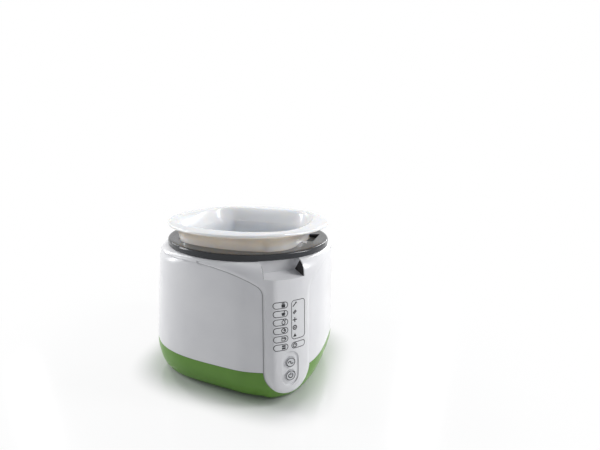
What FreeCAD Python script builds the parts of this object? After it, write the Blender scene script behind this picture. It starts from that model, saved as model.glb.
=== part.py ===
import FreeCAD, Part
import math
import os

import Sketcher
from FreeCAD import Placement, Rotation, Vector

# Countertop yogurt maker. Millimetres, +Z up, origin on the floor under the middle.
# The plan is a rounded square standing on its corner: the control panel is on the -Y corner.
# A "half" is half the width across the flats; a "power" is the roundness, where 2 is a circle.

doc = FreeCAD.newDocument("yogurt_maker")
dims = doc.addObject("Spreadsheet::Sheet", "Dims")
linked = doc.addObject("Spreadsheet::Sheet", "Linked")

SIZES = [
    # Clearances shared by many pieces
    ("touch_gap", 0.1), ("stack_gap", 0.2), ("lap_gap", 0.3), ("weld", 0.5),
    # Milk bowl, from which the plan grows outward
    ("bowl_neck_half", 82.5), ("bowl_power", 4.0), ("bowl_taper", 6.0), ("bowl_deep", 115.8),
    ("bowl_wall", 2.6), ("bowl_floor", 3.0), ("bowl_round", 7.0), ("neck_rise", 2.2),
    ("flare_rise", 24.0), ("rim_flare", 14.9), ("rim_thick", 4.2), ("rim_band", 3.0),
    ("rim_roll", 1.9), ("funnel_angle", 30.0),
    # Heated well
    ("well_fit", 1.5), ("well_wall", 1.2), ("well_seat", 0.3), ("bore_fit", 0.8), ("flange_seat", 6.6),
    ("flange_thick", 1.0), ("gasket_thick", 0.8), ("gasket_fit", 0.3), ("felt_thick", 4.0),
    ("felt_fit", 0.4), ("felt_rise", 14.0), ("felt_drop", 8.0),
    # Ring round the bowl
    ("ring_fit", 0.7), ("ring_skirt", 4.15), ("skirt_fit", 0.6), ("ring_seat", 0.5), ("ring_roll", 2.6),
    ("ring_slope", 3.4), ("ring_plate", 2.2), ("slot_deep", 14.0), ("slot_width", 44.0), ("slot_shift", 17.0),
    # Outer form
    ("crown_inset", 1.5), ("crown_rise", 14.2), ("shoulder_round", 5.0), ("shoulder_power", 2.5),
    ("wall_draft", 2.5), ("seam_height", 44.0), ("seam_power", 2.9), ("seam_gap", 0.4),
    ("floor_height", 5.0), ("floor_inset", 15.2), ("floor_power", 3.7), ("base_bulge", 2.2),
    ("shell_wall", 2.5), ("floor_wall", 3.0),
    # Top cover: a skin lapped over the side shell, with the panel tongue in front
    ("cover_proud", 2.8), ("tongue_half", 30.5), ("tongue_low", 15.5), ("tongue_lean", 2.0),
    ("sweep_band", 4.6), ("sweep_rise", 33.8), ("sweep_small", 15.0), ("sweep_large", 129.0),
    # Finger notch over the panel
    ("notch_left", 31.0), ("notch_right", 20.0), ("notch_clear", 2.0), ("notch_wall", 2.0),
    ("sill_gap", 26.3), ("sill_rise", 3.0), ("shoulder_lift", 1.5), ("cheek_thick", 0.8),
    ("cheek_inset", 1.2),
    # Panel, from the round end of the tongue upward
    ("key_rise", 25.5), ("key_pitch", 16.8), ("select_radius", 6.0), ("power_radius", 6.5),
    ("key_fit", 0.35), ("key_face", 0.3), ("key_collar", 1.2), ("collar_seat", 0.9), ("collar_thick", 1.0),
    ("stem_radius", 2.4), ("key_travel", 0.8), ("switch_slack", 0.5), ("key_dish", 1.0),
    ("dish_half", 11.2), ("dish_end", 13.6), ("pane_gap", 3.15), ("pane_fit", 0.2), ("pane_inset", 0.05),
    ("pill_left", -21.4), ("pill_width", 18.0), ("pill_tall", 7.4), ("pill_pitch", 10.25),
    ("mode_left", 1.6), ("mode_width", 19.0), ("mode_gap", 4.05), ("mode_round", 4.0),
    # Panel board
    ("board_depth", 11.0), ("board_thick", 1.6), ("board_half", 20.0), ("board_tail", 8.0),
    ("board_end", 5.0), ("board_fit", 3.0), ("boss_place", 16.0), ("boss_radius", 3.2), ("boss_room", 7.4),
    ("boss_bite", 1.3),
    ("switch_side", 6.0), ("switch_deep", 3.4), ("switch_case", 2.4), ("nib_radius", 1.7),
    ("led_wide", 3.0), ("led_tall", 1.8), ("led_deep", 1.2), ("led_inset", 5.0),
    # Screws
    ("screw_radius", 1.4), ("thread_gap", 0.2), ("drill_gap", 0.4), ("head_radius", 3.0), ("head_thick", 2.0),
    ("screw_length", 12.0), ("short_screw", 6.0), ("pilot_spare", 1.0),
    # Heater under the well
    ("plate_inset", 0.5), ("plate_thick", 6.0), ("plate_edge", 2.0), ("sensor_radius", 8.0),
    ("sensor_fit", 1.5), ("sensor_step", 2.0), ("strap_drop", 6.0), ("strap_length", 52.0),
    ("strap_width", 12.0), ("strap_thick", 1.0), ("element_radius", 48.0), ("element_tube", 3.3),
    ("element_span", 320.0), ("element_start", 110.0), ("pin_turn", 4.0), ("pin_radius", 1.6),
    ("pin_length", 8.0), ("fuse_radius", 2.2), ("fuse_length", 14.0), ("fuse_place", 28.0),
    ("pillar_inset", 5.0), ("pillar_radius", 4.0), ("pillar_tall", 7.4),
    ("carrier_thick", 1.5), ("carrier_edge", 5.0), ("carrier_lip", 12.0), ("post_gap", 0.5),
    ("post_radius", 5.0),
    # Base furniture
    ("foot_inset", 11.0), ("foot_radius", 9.0), ("foot_edge", 1.0), ("foot_spigot", 3.4), ("foot_fit", 0.3),
    ("foot_bite", 2.0), ("vent_length", 36.0), ("vent_width", 3.0), ("vent_pitch", 8.0), ("vent_place", 34.0),
    ("vent_back", 20.0),
    # Mains board at the back of the base
    ("mains_length", 90.0), ("mains_width", 46.0), ("mains_back", 32.3), ("mains_lift", 15.0),
    ("mains_post", 3.2), ("mains_edge", 1.0), ("part_gap", 4.0),
    ("coil_length", 30.0), ("coil_width", 26.0), ("coil_tall", 22.0),
    ("relay_length", 19.0), ("relay_width", 15.5), ("relay_tall", 15.0),
    ("cap_length", 18.0), ("cap_width", 8.0), ("cap_tall", 13.0),
    ("block_length", 14.0), ("block_width", 10.0), ("block_tall", 11.0),
    # Cord inlet at the back
    ("inlet_drop", 14.0), ("inlet_radius", 6.5), ("inlet_bore", 3.6), ("inlet_flange", 9.5),
    ("inlet_edge", 0.8), ("inlet_lip", 2.2), ("inlet_tail", 7.0), ("inlet_fit", 0.3), ("inlet_sink", 1.0),
]
PILLS = 6
MODES = 5
VENTS = 5

CORNER = "2 ^ (0.5 - 1 / Dims.%s_power)"
LINKS = [
    # Heights
    ("power_height", "Dims.tongue_low + Dims.key_rise"),
    ("select_height", "power_height + Dims.key_pitch"),
    ("dish_low", "power_height - Dims.dish_end"),
    ("dish_high", "select_height + Dims.dish_end"),
    ("pane_low", "dish_high + Dims.pane_gap"),
    ("pill_low", "pane_low + Dims.pill_tall / 2"),
    ("pill_top", "pill_low + %d * Dims.pill_pitch" % (PILLS - 1)),
    ("pane_high", "pill_top + Dims.pill_tall / 2"),
    ("mode_low", "pane_low + Dims.pill_tall + Dims.mode_gap"),
    ("boss_low", "pane_low - Dims.boss_room"),
    ("boss_high", "pane_high + Dims.boss_room"),
    ("board_low", "power_height - Dims.board_tail"),
    ("board_high", "boss_high + Dims.board_end"),
    ("notch_sill", "pane_high + Dims.sill_gap"),
    ("notch_floor", "notch_sill + Dims.sill_rise"),
    ("shoulder_height", "notch_sill + Dims.shoulder_lift"),
    ("crown_height", "shoulder_height + Dims.crown_rise"),
    ("cover_top", "crown_height + Dims.cover_proud"),
    ("sweep_flat", "cover_top - Dims.sweep_band"),
    ("sweep_start", "sweep_flat - Dims.sweep_rise"),
    ("flange_low", "cover_top + Dims.touch_gap"),
    ("gasket_low", "flange_low + Dims.flange_thick + Dims.touch_gap"),
    ("plate_low", "gasket_low + Dims.gasket_thick + Dims.stack_gap"),
    ("ring_low", "cover_top + Dims.ring_seat"),
    ("ring_top", "plate_low + Dims.ring_plate + Dims.ring_slope"),
    ("bowl_low", "ring_top - Dims.bowl_deep"),
    ("bowl_neck", "ring_top + Dims.neck_rise"),
    ("rim_top", "bowl_neck + Dims.flare_rise"),
    ("well_floor", "bowl_low - Dims.well_seat"),
    ("felt_low", "well_floor + Dims.felt_rise"),
    ("felt_top", "notch_sill - Dims.felt_drop"),
    ("heater_top", "well_floor - Dims.well_wall - Dims.stack_gap"),
    ("heater_low", "heater_top - Dims.plate_thick"),
    ("strap_high", "heater_low - Dims.strap_drop"),
    ("carrier_top", "heater_low - Dims.pillar_tall - 2 * Dims.stack_gap"),
    ("carrier_low", "carrier_top - Dims.carrier_thick"),
    ("post_top", "carrier_low - Dims.stack_gap"),
    ("floor_top", "Dims.floor_height + Dims.floor_wall"),
    ("mains_top", "Dims.mains_lift + Dims.board_thick + Dims.touch_gap"),
    # Plan, from the bowl outward
    ("bowl_low_half", "Dims.bowl_neck_half - Dims.bowl_taper"),
    ("rim_radius", "Dims.bowl_neck_half * %s + Dims.rim_flare" % (CORNER % "bowl")),
    ("tub_half", "Dims.bowl_neck_half + Dims.well_fit + Dims.well_wall"),
    ("crown_bore", "tub_half * %s + Dims.bore_fit" % (CORNER % "bowl")),
    ("flange_radius", "crown_bore + Dims.flange_seat"),
    ("ring_radius", "flange_radius + Dims.skirt_fit + Dims.ring_skirt"),
    ("ring_core", "bowl_low_half - Dims.ring_skirt"),
    ("crown_radius", "ring_radius - Dims.crown_inset"),
    ("shoulder_half", "crown_radius + Dims.shoulder_round"),
    ("seam_half", "shoulder_half + Dims.wall_draft"),
    ("floor_half", "seam_half - Dims.floor_inset"),
    ("shoulder_reach", "shoulder_half * %s" % (CORNER % "shoulder")),
    ("notch_back", "crown_bore + Dims.notch_wall + Dims.notch_clear"),
    ("panel_open", "Dims.board_half + Dims.board_fit"),
    ("board_back", "shoulder_reach - Dims.board_depth"),
    ("board_front", "board_back + Dims.board_thick"),
    ("key_tip", "board_front + Dims.switch_deep + Dims.key_travel + Dims.switch_slack"),
    # Heater and base
    ("plate_bore", "Dims.sensor_radius + Dims.sensor_fit"),
    ("plate_radius", "bowl_low_half - Dims.plate_inset"),
    ("pillar_orbit", "plate_radius - Dims.pillar_inset"),
    ("post_orbit", "pillar_orbit + Dims.pillar_radius + Dims.post_gap + Dims.post_radius"),
    ("post_place", "post_orbit / sqrt(2)"),
    ("carrier_inner", "pillar_orbit - Dims.carrier_edge"),
    ("carrier_outer", "post_orbit + Dims.carrier_lip"),
    ("thread_bore", "Dims.screw_radius + Dims.thread_gap"),
    ("drill_radius", "Dims.screw_radius + Dims.drill_gap"),
    ("foot_orbit", "floor_half - Dims.foot_inset"),
    ("mains_place", "floor_half - Dims.mains_back"),
    ("mains_x", "Dims.mains_length / 2 - Dims.mains_post - Dims.mains_edge"),
    ("mains_y", "Dims.mains_width / 2 - Dims.mains_post - Dims.mains_edge"),
    # Cord inlet: its flange seats on a flat sunk just under the lowest part of the curved wall
    ("inlet_height", "Dims.seam_height - Dims.inlet_drop"),
    ("inlet_share", "(inlet_height - Dims.inlet_flange - Dims.floor_height)"
                    " / (Dims.seam_height - Dims.floor_height)"),
    ("inlet_turn", "(1 - inlet_share) ^ Dims.base_bulge"),
    ("inlet_half", "seam_half - Dims.floor_inset * inlet_turn"),
    ("inlet_power", "Dims.seam_power + (Dims.floor_power - Dims.seam_power) * inlet_turn"),
    ("inlet_seat", "inlet_half * 2 ^ (0.5 - 1 / inlet_power) - Dims.inlet_sink"),
]


def fill(sheet, rows):
    for row, (alias, text) in enumerate(rows, 1):
        sheet.set("A%d" % row, alias)
        sheet.set("B%d" % row, text)
        sheet.setAlias("B%d" % row, alias)
    doc.recompute()


fill(dims, [(alias, "%g" % value) for alias, value in SIZES])
fill(linked, [(alias, "=" + text) for alias, text in LINKS])
DRIVEN = [alias for alias, text in LINKS]


def dim(alias):
    return float((linked if alias in DRIVEN else dims).get(alias))


# Helpers for bound primitives, revolved bodies and free forms

def bind(obj, prop, text):
    obj.setExpression(prop, text)


def place(obj, x, y, z):
    for axis, text in (("x", x), ("y", y), ("z", z)):
        bind(obj, "Placement.Base." + axis, text)


def cylinder(name, radius, height, x, y, z, turn=None):
    obj = doc.addObject("Part::Cylinder", name)
    if turn:
        obj.Placement = Placement(Vector(0, 0, 0), turn)
    bind(obj, "Radius", radius)
    bind(obj, "Height", height)
    place(obj, x, y, z)
    return obj


def block(name, length, width, height, x, y, z):
    obj = doc.addObject("Part::Box", name)
    bind(obj, "Length", length)
    bind(obj, "Width", width)
    bind(obj, "Height", height)
    place(obj, x, y, z)
    return obj


def fuse(name, shapes):
    obj = doc.addObject("Part::MultiFuse", name)
    obj.Shapes = shapes
    return obj


def cut(name, base, tool):
    obj = doc.addObject("Part::Cut", name)
    obj.Base = base
    obj.Tool = tool
    return obj


def group(name, shapes):
    obj = doc.addObject("Part::Compound", name)
    obj.Links = shapes
    return obj


def free_form(name, shape):
    obj = doc.addObject("Part::Feature", name)
    obj.Shape = shape
    obj.Placement = Placement()
    return obj


def value_of(text):
    """Value of a bound text, to draw a sketch near its final place."""
    probe = doc.getObject("Probe")
    if not probe:
        probe = doc.addObject("App::FeaturePython", "Probe")
        probe.addProperty("App::PropertyFloat", "Value")
    probe.setExpression("Value", text)
    probe.recompute()
    return float(probe.Value)


def outline_sketch(body, name, role, points):
    """Closed outline of straight lines; every corner is held by two bound distances."""
    sketch = body.newObject("Sketcher::SketchObject", name)
    plane = [f for f in body.Origin.OriginFeatures if f.Role == role][0]
    sketch.AttachmentSupport = [(plane, "")]
    sketch.MapMode = "FlatFace"
    corners = [Vector(value_of(px), value_of(py), 0) for px, py in points]
    count = len(points)
    for i in range(count):
        sketch.addGeometry(Part.LineSegment(corners[i], corners[(i + 1) % count]), False)
    for i in range(count):
        sketch.addConstraint(Sketcher.Constraint("Coincident", i, 2, (i + 1) % count, 1))
    for i, texts in enumerate(points):
        for kind, text, value in zip(("DistanceX", "DistanceY"), texts, corners[i]):
            number = sketch.addConstraint(Sketcher.Constraint(kind, -1, 1, i, 1, value))
            sketch.setExpression("Constraints[%d]" % number, text)
    return sketch


def revolved(name, points):
    """Body turned about its own Z axis from an (r, z) outline."""
    body = doc.addObject("PartDesign::Body", name)
    sketch = outline_sketch(body, name + "_outline", "XZ_Plane", points)
    turn = body.newObject("PartDesign::Revolution", name + "_turn")
    turn.Profile = sketch
    turn.ReferenceAxis = (sketch, ["V_Axis"])
    turn.Angle = 360
    return body


def padded(name, length, width, height):
    """Plate padded up from a rectangle on its own XY plane."""
    body = doc.addObject("PartDesign::Body", name)
    corners = [("0", "0"), (length, "0"), (length, width), ("0", width)]
    sketch = outline_sketch(body, name + "_outline", "XY_Plane", corners)
    pad = body.newObject("PartDesign::Pad", name + "_pad")
    pad.Profile = sketch
    bind(pad, "Length", height)
    return body


# Free forms: rounded squares with their corners on the axes

FAR = 4.0 * dim("seam_half")
CURVE_STEPS = 8


def reach(half, power):
    """Distance from the middle to the corner of a rounded square."""
    return half * 2 ** (0.5 - 1 / power)


def rounded_square(half, power, z):
    """Four equal curves from corner to corner; power 2 gives a circle."""
    edges = []
    for quarter in range(4):
        first, last = math.radians(90 * quarter), math.radians(90 * quarter + 90)
        points = []
        for step in range(CURVE_STEPS + 1):
            angle = first + (last - first) * step / CURVE_STEPS
            c = abs(math.cos(angle - math.pi / 4))
            s = abs(math.sin(angle - math.pi / 4))
            radius = half / (c ** power + s ** power) ** (1.0 / power)
            points.append(Vector(radius * math.cos(angle), radius * math.sin(angle), z))
        curve = Part.BSplineCurve()
        curve.interpolate(Points=points,
                          InitialTangent=Vector(-math.sin(first), math.cos(first), 0),
                          FinalTangent=Vector(-math.sin(last), math.cos(last), 0))
        edges.append(curve.toShape())
    return Part.Wire(edges)


def lofted(levels):
    return Part.makeLoft([rounded_square(*level) for level in levels], True, False)


def straight(half, power, low, high):
    return lofted([(half, power, low), (half, power, high)])


def slab(low, high):
    """Wide block between two heights."""
    return Part.makeBox(FAR, FAR, high - low, Vector(-FAR / 2, -FAR / 2, low))


def base_section(share):
    """Half width, power and height of the base; it bulges in toward the floor."""
    turn = (1 - share) ** dim("base_bulge")
    half = dim("seam_half") - dim("floor_inset") * turn
    power = dim("seam_power") + (dim("floor_power") - dim("seam_power")) * turn
    return half, power, dim("floor_height") + (dim("seam_height") - dim("floor_height")) * share


def base_form(grow):
    levels = []
    for share in (0.0, 0.12, 0.38, 0.68, 1.0):
        half, power, z = base_section(share)
        levels.append((half + grow, power, z))
    return lofted(levels)


def wall_section(height, grow):
    """Half width, power and height on the straight wall over the seam."""
    share = (height - dim("seam_height")) / (dim("shoulder_height") - dim("seam_height"))
    half = dim("seam_half") - dim("wall_draft") * share
    power = dim("seam_power") + (dim("shoulder_power") - dim("seam_power")) * share
    return half + grow, power, height


def wall_form(grow):
    return lofted([wall_section(dim("seam_height"), grow), wall_section(dim("shoulder_height"), grow)])


def shoulder_form(grow):
    """Quarter round from the rounded square in to the circle under the ring."""
    levels = []
    rise = dim("crown_height") + grow - dim("shoulder_height")
    spread = dim("shoulder_round") + grow
    for turn in (0.0, 25.0, 50.0, 72.0, 90.0):
        c, s = math.cos(math.radians(turn)), math.sin(math.radians(turn))
        power = 2.0 + (dim("shoulder_power") - 2.0) * c
        levels.append((dim("crown_radius") + spread * c, power, dim("shoulder_height") + rise * s))
    return lofted(levels)


def tongue_section(grow):
    return dim("seam_half") - dim("tongue_lean") + grow, dim("seam_power"), dim("floor_height")


def shell_form(grow):
    return wall_form(grow).fuse(shoulder_form(grow))


def cover_form(grow):
    """Shell form carried on down past the seam, for the tongue."""
    tongue = lofted([tongue_section(grow), wall_section(dim("seam_height"), grow)])
    return tongue.fuse([wall_form(grow), shoulder_form(grow)])


def panel_face(height, grow):
    """Distance from the axis to the panel face on its centre line."""
    top = reach(dim("shoulder_half") + grow, dim("shoulder_power"))
    middle = reach(dim("seam_half") + grow, dim("seam_power"))
    low = reach(dim("seam_half") - dim("tongue_lean") + grow, dim("seam_power"))
    if height < dim("seam_height"):
        share = (height - dim("floor_height")) / (dim("seam_height") - dim("floor_height"))
        return low + (middle - low) * share
    share = (height - dim("seam_height")) / (dim("shoulder_height") - dim("seam_height"))
    return middle + (top - middle) * share


def front_prism(wire, near, far):
    """Outline drawn in the front view (x, z) and pushed from y = near to y = far."""
    face = Part.Face(wire)
    face.translate(Vector(0, near, 0))
    return face.extrude(Vector(0, far - near, 0))


def pill_wire(x, z, width, tall, radius):
    """Rounded bar in the front view, by its lower left corner."""
    right, top = x + width, z + tall
    near = radius * (1 - math.sqrt(0.5))

    def corner(cx, cz, sx, sz):
        start, end = Vector(cx, 0, cz + sz * radius), Vector(cx + sx * radius, 0, cz)
        return (start, Vector(cx + sx * near, 0, cz + sz * near), end)

    arcs = [corner(x, z, 1, 1), corner(right, z, -1, 1)[::-1],
            corner(right, top, -1, -1), corner(x, top, 1, -1)[::-1]]
    edges = []
    for i, arc in enumerate(arcs):
        edges.append(Part.Arc(*arc).toShape())
        end, start = arc[2], arcs[(i + 1) % 4][0]
        if end.distanceToPoint(start) > 1e-6:
            edges.append(Part.LineSegment(end, start).toShape())
    return Part.Wire(edges)


def pill(x, z, width, tall):
    """Bar with fully round ends, a hair short of a half circle."""
    return pill_wire(x, z, width, tall, tall / 2 * 0.998)


def sweep_wire(grow):
    """Front outline of the top cover: round tongue end, straight sides, S sweep to a level line."""
    half = dim("tongue_half") + grow
    middle = dim("tongue_low") + dim("tongue_half")
    small, large = dim("sweep_small"), dim("sweep_large")
    turn = math.asin((large - dim("sweep_rise")) / (large - small))
    cx, cz = dim("tongue_half") + small, dim("sweep_start")
    ox, oz = cx + (large - small) * math.cos(turn), cz - (large - small) * math.sin(turn)
    small, large = small - grow, large - grow

    def on_small(angle):
        return Vector(cx - small * math.cos(angle), 0, cz + small * math.sin(angle))

    def on_large(angle):
        return Vector(ox - large * math.cos(angle), 0, oz + large * math.sin(angle))

    def flip(v):
        return Vector(-v.x, 0, v.z)

    foot, a, b, c = Vector(half, 0, middle), on_small(0), on_small(turn), on_large(math.pi / 2)
    mid_small, mid_large = on_small(turn / 2), on_large((turn + math.pi / 2) / 2)
    d, e = Vector(FAR / 2, 0, c.z), Vector(FAR / 2, 0, FAR)
    edges = [
        Part.Arc(flip(foot), Vector(0, 0, middle - half), foot),
        Part.LineSegment(foot, a), Part.Arc(a, mid_small, b), Part.Arc(b, mid_large, c),
        Part.LineSegment(c, d), Part.LineSegment(d, e), Part.LineSegment(e, flip(e)),
        Part.LineSegment(flip(e), flip(d)), Part.LineSegment(flip(d), flip(c)),
        Part.Arc(flip(c), flip(mid_large), flip(b)), Part.Arc(flip(b), flip(mid_small), flip(a)),
        Part.LineSegment(flip(a), flip(foot)),
    ]
    return Part.Wire([edge.toShape() for edge in edges])


def cover_zone(grow):
    """Space of the top cover seen from the front, and a level band round the back."""
    front = front_prism(sweep_wire(grow), -FAR, 0)
    back = Part.makeBox(FAR, FAR, FAR, Vector(-FAR / 2, 0, dim("sweep_flat") - grow))
    return front.fuse(back).removeSplitter()


def notch_void(grow):
    """Finger notch: upright back and end walls, and a sill that slopes out."""
    back, out = dim("notch_back") - grow, dim("shoulder_reach") + dim("cover_proud")
    fall = dim("sill_rise") / (out - dim("notch_back"))
    low = dim("notch_floor") - grow
    outside = FAR / 2
    corners = [Vector(-dim("notch_left") - grow, y, z) for y, z in (
        (-back, FAR), (-back, low), (-outside, low - fall * (outside - back)), (-outside, FAR))]
    side = Part.Face(Part.makePolygon(corners + corners[:1]))
    return side.extrude(Vector(dim("notch_left") + dim("notch_right") + 2 * grow, 0, 0))


def panel_opening():
    """Clear space behind the tongue, through side shell and base."""
    half = dim("panel_open")
    low, high = dim("board_low") - dim("board_fit"), dim("board_high") + dim("board_fit")
    return Part.makeBox(2 * half, FAR / 2, high - low, Vector(-half, -FAR / 2, low))


def upright(radius, low, high, x=0.0, y=0.0):
    return Part.makeCylinder(radius, high - low, Vector(x, y, low))


SIGNS = [(sx, sy) for sx in (-1, 1) for sy in (-1, 1)]

# Base: green pan with posts, foot sockets, vents and the seat of the cord inlet

floor_top, weld = dim("floor_top"), dim("weld")
pan_outer = base_form(0.0)
pan = pan_outer.cut(base_form(-dim("shell_wall")).common(slab(floor_top, FAR)))
inlet_axis = Vector(0, 0, dim("inlet_height"))


def along_back(radius, near):
    return Part.makeCylinder(radius, FAR, inlet_axis + Vector(0, near, 0), Vector(0, 1, 0))


socket = dim("inlet_flange") + dim("inlet_fit")
inlet_boss = along_back(socket + dim("shell_wall"), dim("inlet_seat") - dim("shell_wall"))
pan = pan.fuse(inlet_boss.common(pan_outer)).cut(along_back(socket, dim("inlet_seat")))
pan = pan.cut(along_back(dim("inlet_radius") + dim("inlet_fit"), 0))
for sx, sy in SIGNS:
    x, y = sx * dim("post_place"), sy * dim("post_place")
    pan = pan.fuse(upright(dim("post_radius"), floor_top - weld, dim("post_top"), x, y))
    deep = dim("screw_length") + dim("pilot_spare")
    pan = pan.cut(upright(dim("thread_bore"), dim("post_top") - deep, dim("post_top"), x, y))
    x, y = sx * dim("mains_x"), dim("mains_place") + sy * dim("mains_y")
    top = dim("mains_lift") - dim("stack_gap")
    pan = pan.fuse(upright(dim("mains_post"), floor_top - weld, top, x, y))
    pan = pan.cut(upright(dim("thread_bore"), top - dim("short_screw") - dim("pilot_spare") / 2, top, x, y))
for sx, sy in ((1, 0), (0, 1), (-1, 0), (0, -1)):
    spot = sx * dim("foot_orbit"), sy * dim("foot_orbit")
    pan = pan.cut(upright(dim("foot_spigot") + dim("foot_fit"), 0, floor_top + weld, *spot))
for side in (-1, 1):
    for i in range(VENTS):
        slot = Part.Face(pill(side * dim("vent_place") - dim("vent_length") / 2, -dim("vent_width") / 2,
                              dim("vent_length"), dim("vent_width"))).extrude(Vector(0, -floor_top - weld, 0))
        slot.rotate(Vector(0, 0, 0), Vector(1, 0, 0), -90)
        slot.translate(Vector(0, (i - (VENTS - 1) / 2) * dim("vent_pitch") - dim("vent_back"), 0))
        pan = pan.cut(slot)
base_pan = free_form("base_pan", pan.cut(panel_opening()).removeSplitter())

# Side shell: wall and shoulder, open behind the panel and round the finger notch

bore = upright(dim("crown_bore"), dim("felt_top"), FAR)
shell = shell_form(0.0).cut(shell_form(-dim("shell_wall")))
shell = shell.cut(slab(-FAR, dim("seam_height") + dim("seam_gap"))).cut(bore).cut(panel_opening())
side_shell = free_form("side_shell", shell.cut(notch_void(dim("notch_wall") + dim("lap_gap"))))

# Top cover: proud skin inside the sweep, with the panel tongue and the notch pocket

proud, gap = dim("cover_proud"), dim("lap_gap")
outer = cover_form(proud)
pocket = notch_void(dim("notch_wall")).common(outer).common(slab(dim("board_high"), dim("cover_top")))
skin = outer.common(cover_zone(0.0)).cut(shell_form(gap).fuse(base_form(gap)))
cover = skin.fuse(pocket)
cover = cover.cut(bore).cut(notch_void(0.0))

# Key dish, window openings, button holes and board bosses of the tongue

board_wall = -dim("board_front")
dish_wire = pill_wire(-dim("dish_half"), dim("dish_low"), 2 * dim("dish_half"),
                      dim("dish_high") - dim("dish_low"), dim("dish_half") * 0.998)
cover = cover.cut(front_prism(dish_wire, -FAR, board_wall).cut(cover_form(proud - dim("key_dish"))))


def pane_wires(grow):
    """Outlines of the program pills, the mode window and the timer window."""
    wide, tall = dim("mode_width") + 2 * grow, dim("pill_tall") + 2 * grow
    pills = [pill(dim("pill_left") - grow, dim("pane_low") + i * dim("pill_pitch") - grow,
                  dim("pill_width") + 2 * grow, tall) for i in range(PILLS)]
    mode = pill_wire(dim("mode_left") - grow, dim("mode_low") - grow, wide,
                     dim("pane_high") - dim("mode_low") + 2 * grow, dim("mode_round") + grow)
    return pills, mode, pill(dim("mode_left") - grow, dim("pane_low") - grow, wide, tall)


pills, mode, timer = pane_wires(dim("pane_fit"))
for wire in pills + [mode, timer]:
    cover = cover.cut(front_prism(wire, -FAR, board_wall))
for name in ("select", "power"):
    spot = Vector(0, board_wall, dim(name + "_height"))
    cover = cover.cut(Part.makeCylinder(dim(name + "_radius") + dim("key_fit"), FAR, spot, Vector(0, -1, 0)))
boss_room = cover_form(proud - dim("boss_bite"))
for x in (-dim("boss_place"), dim("boss_place")):
    for z in (dim("boss_low"), dim("boss_high")):
        spot = Vector(x, board_wall - dim("stack_gap"), z)
        boss = Part.makeCylinder(dim("boss_radius"), FAR, spot, Vector(0, -1, 0)).common(boss_room)
        deep = dim("short_screw") - dim("board_thick")
        cover = cover.fuse(boss).cut(Part.makeCylinder(dim("thread_bore"), deep, spot, Vector(0, -1, 0)))
top_cover = free_form("top_cover", cover)

# Window panes, flush with the tongue

pane_layer = cover_form(proud - dim("pane_inset")).cut(cover_form(gap))
pills, mode, timer = pane_wires(0.0)


def pane(wire):
    return front_prism(wire, -FAR, board_wall).common(pane_layer)


program_windows = free_form("program_windows", Part.makeCompound([pane(wire) for wire in pills]))
mode_window = free_form("mode_window", pane(mode))
timer_window = free_form("timer_window", pane(timer))

# Dark cheeks lining the two ends of the finger notch

cheek_room = notch_void(0.0).common(cover_form(proud - dim("cheek_inset")))
cheek_room = cheek_room.common(slab(dim("board_high"), dim("cover_top") - gap))
cheeks = [cheek_room.common(Part.makeBox(dim("cheek_thick"), FAR, FAR, Vector(x, -FAR, 0)))
          for x in (-dim("notch_left"), dim("notch_right") - dim("cheek_thick"))]
notch_cheeks = free_form("notch_cheeks", Part.makeCompound(cheeks))

# Push buttons: flat face, collar behind the cover and a stem to the switch

keys = doc.addObject("Spreadsheet::Sheet", "Keys")
key_planes = (("_face", proud, dim("key_face")), ("_collar", gap, -dim("collar_seat")))
fill(keys, [(name + part, "%.6f" % (panel_face(dim(name + "_height"), grow) + shift))
            for name in ("select", "power") for part, grow, shift in key_planes])
buttons = {}
for name in ("select", "power"):
    face = "Keys.%s_face - Linked.key_tip" % name
    collar = "Keys.%s_collar - Linked.key_tip" % name
    radius = "Dims.%s_radius" % name
    wide = radius + " + Dims.key_collar"
    body = revolved(name + "_button", [
        ("0", "0"), ("Dims.stem_radius", "0"), ("Dims.stem_radius", collar + " - Dims.collar_thick"),
        (wide, collar + " - Dims.collar_thick"), (wide, collar), (radius, collar), (radius, face),
        ("0", face)])
    body.Placement = Placement(Vector(0, 0, 0), Rotation(Vector(1, 0, 0), 90))
    place(body, "0", "-Linked.key_tip", "Linked.%s_height" % name)
    buttons[name] = body

# Ring: rolled outer edge and a surface that falls toward the bowl

ring_in, ring_shelf = "Linked.ring_radius - Dims.ring_skirt", "Linked.ring_top - Dims.ring_slope"
ring_body = revolved("ring_turned", [
    (ring_in, "Linked.ring_low"), ("Linked.ring_radius", "Linked.ring_low"),
    ("Linked.ring_radius", "Linked.ring_top"),
    ("Linked.ring_radius - 2 * Dims.ring_roll", "Linked.ring_top"),
    ("Linked.ring_core", ring_shelf), ("Linked.ring_core", "Linked.plate_low"),
    (ring_in, "Linked.plate_low")])
doc.recompute()
roll_base = ring_body.Tip
top_edges = ["Edge%d" % i for i, edge in enumerate(ring_body.Shape.Edges, 1)
             if edge.BoundBox.ZMin > dim("ring_top") - 1e-3]
roll = ring_body.newObject("PartDesign::Fillet", "ring_roll_edge")
roll.Base = (roll_base, top_edges)
bind(roll, "Radius", "Dims.ring_roll * 0.95")
ring_body.Tip = roll


def bowl_half(z):
    share = (z - dim("bowl_low")) / (dim("bowl_neck") - dim("bowl_low"))
    return dim("bowl_low_half") + dim("bowl_taper") * share


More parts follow.
